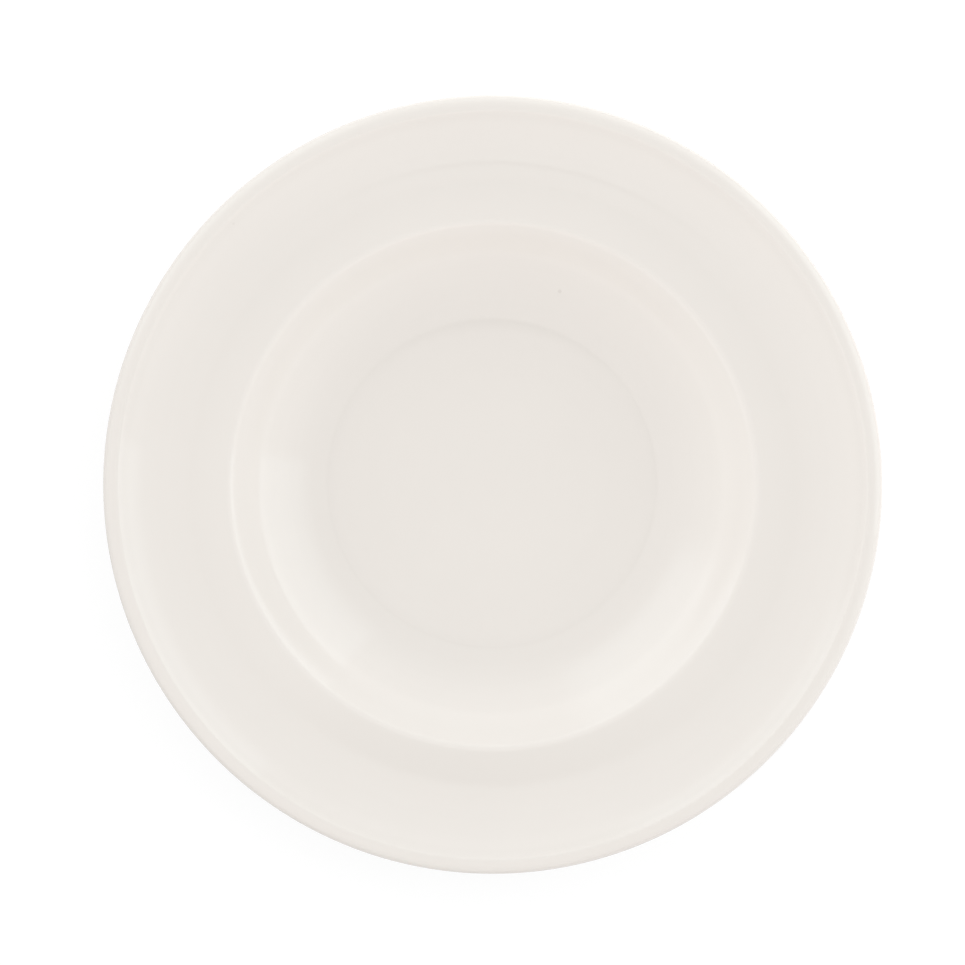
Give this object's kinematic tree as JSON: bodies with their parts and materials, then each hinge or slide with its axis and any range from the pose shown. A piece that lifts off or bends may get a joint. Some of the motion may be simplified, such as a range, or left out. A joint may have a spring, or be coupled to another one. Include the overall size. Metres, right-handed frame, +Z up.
{
  "type": "rimmed soup plate",
  "caption": "Round soup plate with a deep well, a wide rim that turns up to a rolled edge, a foot ring, and a glossy warm white glaze.",
  "frame": {"origin": "centre of the foot ring's contact plane, where the plate stands on the table", "axes": "+Z up through the eating side, along the axis of revolution; X and Y lie in the table and are alike"},
  "size_m": [0.24, 0.24, 0.034],
  "materials": {
    "clay": "matte",
    "face_glaze": "gloss",
    "back_glaze": "gloss"
  },
  "bodies": {
    "root": {"plate_body": "clay", "face_glaze": "face_glaze", "back_glaze": "back_glaze", "recess_glaze": "back_glaze"}
  },
  "joints": []
}
